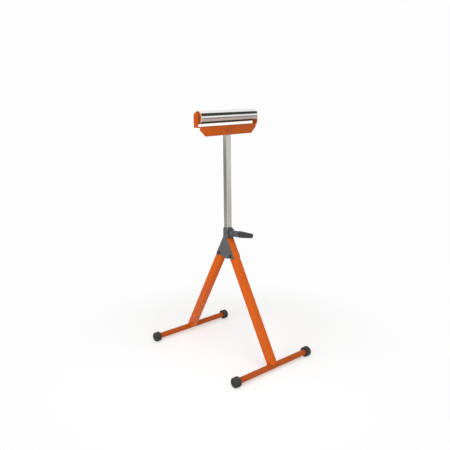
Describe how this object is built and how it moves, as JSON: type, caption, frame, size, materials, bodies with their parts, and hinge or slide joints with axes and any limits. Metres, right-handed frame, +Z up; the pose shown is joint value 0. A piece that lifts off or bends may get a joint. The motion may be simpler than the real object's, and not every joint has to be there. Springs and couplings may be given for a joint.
{
  "type": "folding pedestal roller stand",
  "caption": "Folding pedestal roller stand: a horizontal steel roller on a height-adjustable square post, clamped by a lever, on two splayed box-section legs with cross bars and rubber feet.",
  "frame": {"origin": "on the floor, under the middle of the post", "axes": "+Z up the post, +X along the roller, +Y across the spread of the legs, away from the side that carries the lever"},
  "size_m": [0.444, 0.6188, 1.092],
  "materials": {
    "orange_paint": "gloss",
    "cap_red": "satin",
    "chrome": "polished",
    "zinc": "satin",
    "grey_paint": "satin",
    "lever_metal": "satin",
    "black_steel": "satin",
    "black_plastic": "matte",
    "rubber": "matte",
    "bearing_steel": "polished",
    "brass": "satin"
  },
  "bodies": {
    "clamp_unit": {"guide_sleeve": "grey_paint", "gusset_plate_left": "grey_paint", "gusset_plate_right": "grey_paint", "clamp_block": "grey_paint", "pivot_bolt_front": "black_steel", "pivot_nut_front": "black_steel", "pivot_bush_front": "zinc", "pivot_bolt_rear": "black_steel", "pivot_nut_rear": "black_steel", "pivot_bush_rear": "zinc", "pivot_washer_front_left": "zinc", "pivot_washer_front_right": "zinc", "pivot_washer_rear_left": "zinc", "pivot_washer_rear_right": "zinc"},
    "post": {"post_tube": "zinc", "post_plug": "black_plastic", "head_bracket": "orange_paint", "head_bolt_upper": "zinc", "head_bolt_lower": "zinc", "head_nut_upper": "zinc", "head_nut_lower": "zinc", "roller_axle": "zinc", "axle_spacer_left": "zinc", "axle_spacer_right": "zinc", "bearing_inner_race_left": "bearing_steel", "bearing_inner_race_right": "bearing_steel"},
    "roller": {"roller_tube": "chrome", "roller_cap_left": "cap_red", "roller_cap_right": "cap_red", "bearing_outer_race_left": "bearing_steel", "bearing_outer_race_right": "bearing_steel"},
    "bearing_cages": {"bearing_balls_left": "brass", "bearing_balls_right": "brass"},
    "shoe": {"clamp_shoe": "brass"},
    "clamp_lever": {"clamp_bolt": "black_steel", "lever_arm": "lever_metal", "lever_grip": "black_plastic"},
    "front_leg": {"leg_front": "orange_paint", "foot_bar_front": "orange_paint", "foot_cap_front_left": "rubber", "foot_cap_front_right": "rubber"},
    "rear_leg": {"leg_rear": "orange_paint", "foot_bar_rear": "orange_paint", "foot_cap_rear_left": "rubber", "foot_cap_rear_right": "rubber"}
  },
  "joints": [
    {"name": "post_slide", "type": "slide", "parent": "clamp_unit", "child": "post", "axis": [0, 0, 1], "range_m": [-0.4, 0]},
    {"name": "roller_spin", "type": "hinge", "parent": "post", "child": "roller", "pos_m": [0, 0, 1.065], "axis": [1, 0, 0], "continuous": true},
    {"name": "bearing_spin", "type": "hinge", "parent": "post", "child": "bearing_cages", "pos_m": [0, 0, 1.065], "axis": [1, 0, 0], "continuous": true},
    {"name": "shoe_press", "type": "slide", "parent": "clamp_unit", "child": "shoe", "axis": [0, -1, 0], "range_m": [0, 0.00075]},
    {"name": "lever_turn", "type": "hinge", "parent": "shoe", "child": "clamp_lever", "pos_m": [0, -0.02705, 0.559], "axis": [0, -1, 0], "range_deg": [0, 180]},
    {"name": "front_leg_fold", "type": "hinge", "parent": "clamp_unit", "child": "front_leg", "pos_m": [0, -0.04, 0.459], "axis": [1, 0, 0], "range_deg": [0, 29.5]},
    {"name": "rear_leg_fold", "type": "hinge", "parent": "clamp_unit", "child": "rear_leg", "pos_m": [0, 0.04, 0.459], "axis": [-1, 0, 0], "range_deg": [0, 29.5]}
  ],
  "couplings": [
    {"joint": "bearing_spin", "follows": "roller_spin", "ratio": 0.63333},
    {"joint": "shoe_press", "follows": "lever_turn", "m_per_rad": 0.00023873}
  ]
}
